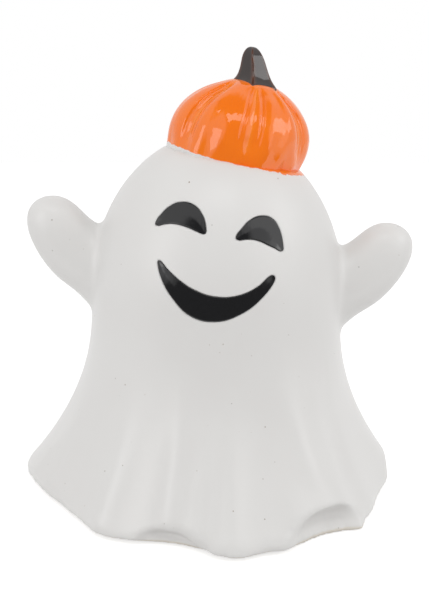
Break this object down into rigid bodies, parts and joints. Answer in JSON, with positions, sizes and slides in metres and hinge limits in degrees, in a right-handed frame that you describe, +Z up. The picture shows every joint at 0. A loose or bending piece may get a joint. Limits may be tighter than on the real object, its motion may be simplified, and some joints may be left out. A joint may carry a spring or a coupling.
{
  "type": "ceramic ghost figure",
  "caption": "Standing hollow glazed ceramic ghost with raised arms, a smiling recessed face and a tilted pumpkin hat; a seasonal table decoration.",
  "frame": {"origin": "middle of the bounding box, on the table under the felt pads", "axes": "+Z up along the figure, the face looks along -Y, +X to the figure's own left"},
  "size_m": [0.139, 0.1235, 0.154],
  "materials": {
    "white_glaze": "satin white glaze with fine specks",
    "orange_glaze": "gloss orange glaze",
    "brown_glaze": "gloss dark brown glaze",
    "black_glaze": "gloss black glaze",
    "felt": "pressed wool felt"
  },
  "bodies": {
    "root": {"body_shell": "white_glaze", "right_arm": "white_glaze", "left_arm": "white_glaze", "pumpkin_hat": "orange_glaze", "hat_stem": "brown_glaze", "right_eye": "black_glaze", "left_eye": "black_glaze", "mouth": "black_glaze", "foot_pads": "felt"}
  },
  "joints": []
}
